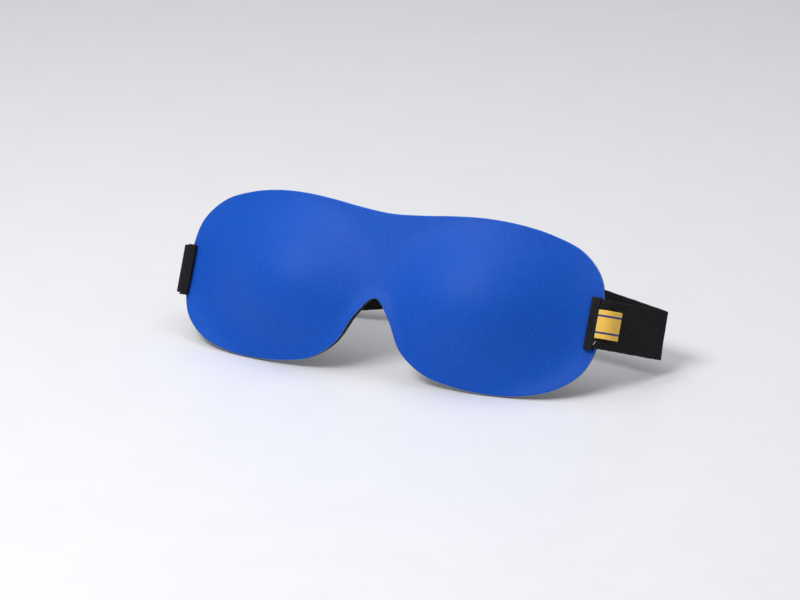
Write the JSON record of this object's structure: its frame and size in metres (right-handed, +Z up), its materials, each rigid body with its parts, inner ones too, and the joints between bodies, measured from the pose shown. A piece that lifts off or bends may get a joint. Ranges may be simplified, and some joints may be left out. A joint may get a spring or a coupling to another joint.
{
  "type": "contoured sleep mask",
  "caption": "Contoured sleep mask with domed eye cups, a nose notch and an adjustable elastic head strap, leaning back at rest.",
  "frame": {"origin": "middle of the underside of the whole part's box, on the surface that it rests on", "axes": "+X along the face chord, to the right as seen from the front; -Y the way the domed front looks; +Y towards the wearer; +Z up"},
  "size_m": [0.2554, 0.0928, 0.0811],
  "materials": {
    "cover_blue": "brushed knit with a soft sheen",
    "foam": "moulded foam, cut edge shows",
    "lining_black": "soft knit",
    "tape_black": "satin tape",
    "thread_black": "sewing thread",
    "label_yellow": "woven ribbon",
    "webbing": "woven elastic",
    "plastic_black": "moulded"
  },
  "bodies": {
    "mask": {"outer_cover": "cover_blue", "foam_core": "foam", "inner_lining": "lining_black", "right_binding": "tape_black", "left_binding": "tape_black", "right_stitch": "thread_black", "left_stitch": "thread_black", "strap_right_run": "webbing", "strap_left_tab": "webbing"},
    "strap": {"strap_back_run": "webbing", "strap_ring_run": "webbing", "ring": "plastic_black", "tab_loop": "webbing", "tab_stitch": "thread_black"},
    "adjuster": {"slider": "plastic_black", "strap_tail": "webbing", "tail_stitch": "thread_black"},
    "tag": {"label": "label_yellow"}
  },
  "joints": [
    {"name": "strap_pull", "type": "slide", "parent": "mask", "child": "strap", "axis": [0, 1, 0], "range_m": [0, 0.06], "stiffness_N_per_m": 60},
    {"name": "slider_travel", "type": "slide", "parent": "strap", "child": "adjuster", "axis": [0.9968, 0.0739, -0.0299], "range_m": [0, 0.022]},
    {"name": "label_flap", "type": "hinge", "parent": "mask", "child": "tag", "pos_m": [0.10497, -0.02032, 0.03036], "axis": [0, -0.4565, -0.8897], "range_deg": [0, 110], "stiffness_Nm_per_rad": 0.0004}
  ]
}
